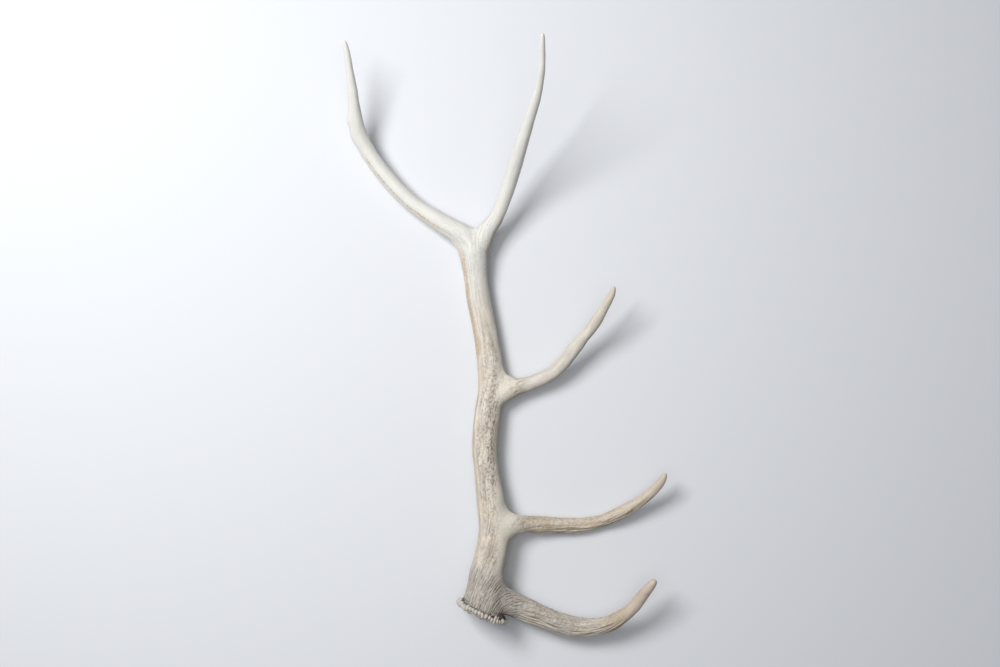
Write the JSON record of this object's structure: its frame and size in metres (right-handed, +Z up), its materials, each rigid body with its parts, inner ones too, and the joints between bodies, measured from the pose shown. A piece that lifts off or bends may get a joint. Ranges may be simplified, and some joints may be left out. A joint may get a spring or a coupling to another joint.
{
  "type": "deer antler",
  "caption": "Shed branching antler lying on its outer side: a curved beam with a pearled burr, tines along one side and a forked top.",
  "frame": {"origin": "bottom centre of the bounding box, on the surface the antler lies on", "axes": "+Z up; +Y along the beam from the burr to the tips; +X toward the side the tines grow from"},
  "size_m": [0.5552, 1.0246, 0.2694],
  "materials": {
    "stained_bone": "rough weathered antler bone, grey-brown, dark in the grooves",
    "brow_bone": "ribbed antler bone worn smooth and yellowish toward the tip",
    "pitted_bone": "dry antler bone, cream ridges with dark pits between",
    "ridged_bone": "pebbled antler bone, smooth at the tip",
    "tan_bone": "smooth antler bone with faint pits and tan patches",
    "upper_bone": "smooth pale antler bone with a pitted ochre strip",
    "chalky_bone": "smooth chalky sun-bleached antler bone, faintly streaked"
  },
  "bodies": {
    "root": {"beam_base": "stained_bone", "brow_tine": "brow_bone", "beam_lower": "pitted_bone", "second_tine": "ridged_bone", "beam_middle": "pitted_bone", "third_tine": "tan_bone", "beam_upper": "upper_bone", "beam_tip": "chalky_bone", "front_top_tine": "chalky_bone"}
  },
  "joints": []
}
